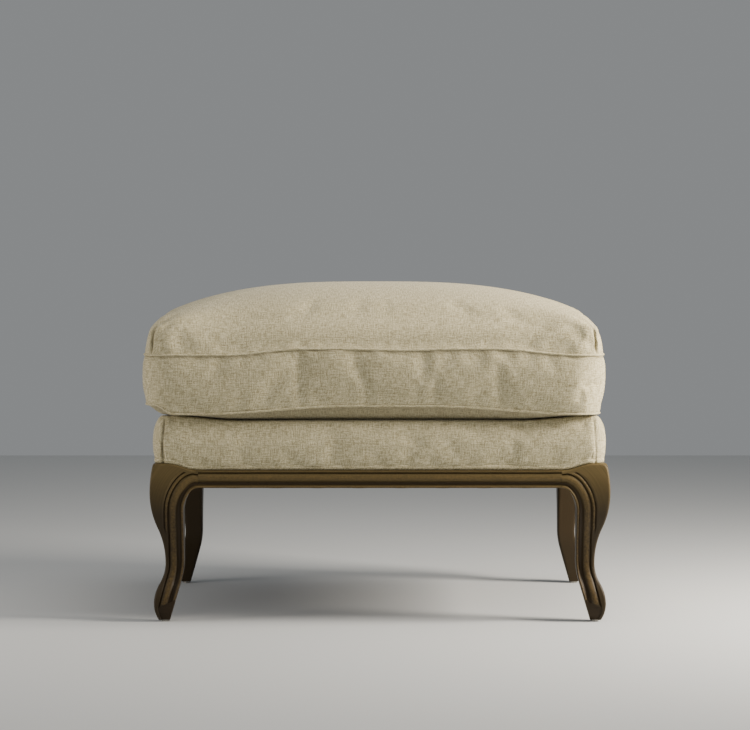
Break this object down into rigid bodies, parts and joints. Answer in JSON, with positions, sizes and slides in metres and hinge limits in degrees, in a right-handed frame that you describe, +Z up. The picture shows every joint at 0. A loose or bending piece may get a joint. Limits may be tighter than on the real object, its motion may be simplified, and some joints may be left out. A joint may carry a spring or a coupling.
{
  "type": "upholstered low stool",
  "caption": "Low upholstered stool with a loose crowned box cushion on a padded deck, welted seams, moulded dark wood rails and curved cabriole legs.",
  "frame": {"origin": "middle of the stool's plan, on the floor under its glides", "axes": "+X to the right seen from the front, +Y to the back, +Z up"},
  "size_m": [0.6812, 0.5403, 0.485],
  "materials": {
    "antiqued_beech": "dark brown stain, waxed, rubbed edges",
    "raw_beech": "sawn, unfinished",
    "zinc_steel": "zinc plated",
    "nickel_steel": "nickel plated, domed edge",
    "jute_webbing": "woven jute straps",
    "hessian_cloth": "open plain weave",
    "foam_padding": "soft foam",
    "fibre_wrap": "soft fibre wadding",
    "linen": "natural linen, slubby plain weave",
    "black_cambric": "thin non-woven cloth",
    "zip_cloth": "woven tape",
    "zip_nylon": "nylon coil",
    "zip_metal": "antique nickel"
  },
  "bodies": {
    "stool_frame": {"leg_front_left": "antiqued_beech", "leg_front_right": "antiqued_beech", "leg_back_left": "antiqued_beech", "leg_back_right": "antiqued_beech", "rail_front": "antiqued_beech", "rail_back": "antiqued_beech", "rail_left": "antiqued_beech", "rail_right": "antiqued_beech", "rail_tenons": "raw_beech", "corner_block_front_left": "raw_beech", "corner_block_front_right": "raw_beech", "corner_block_back_left": "raw_beech", "corner_block_back_right": "raw_beech", "corner_block_screws": "zinc_steel", "foot_glides": "nickel_steel", "webbing_side_to_side": "jute_webbing", "webbing_front_to_back": "jute_webbing", "hessian": "hessian_cloth", "deck_pad": "foam_padding", "deck_cover": "linen", "deck_welt": "linen", "dust_cover": "black_cambric", "dust_cover_staples": "zinc_steel"},
    "loose_cushion": {"cushion_core": "foam_padding", "cushion_wrap": "fibre_wrap", "cushion_top_panel": "linen", "cushion_boxing": "linen", "cushion_bottom_panel": "linen", "cushion_top_welt": "linen", "cushion_bottom_welt": "linen", "zip_tape": "zip_cloth", "zip_chain": "zip_nylon", "zip_stops": "zip_nylon"},
    "slider": {"zip_slider": "zip_metal"},
    "pull": {"zip_pull": "zip_metal"}
  },
  "joints": [
    {"name": "cushion_lift", "type": "slide", "parent": "stool_frame", "child": "loose_cushion", "axis": [0, 0, 1], "range_m": [0, 0.2]},
    {"name": "zip_slide", "type": "slide", "parent": "loose_cushion", "child": "slider", "axis": [-1, 0, 0], "range_m": [0, 0.4]},
    {"name": "zip_pull_flip", "type": "hinge", "parent": "slider", "child": "pull", "pos_m": [0.2003, 0.269, 0.3479], "axis": [0, 0, 1], "range_deg": [0, 175]}
  ]
}
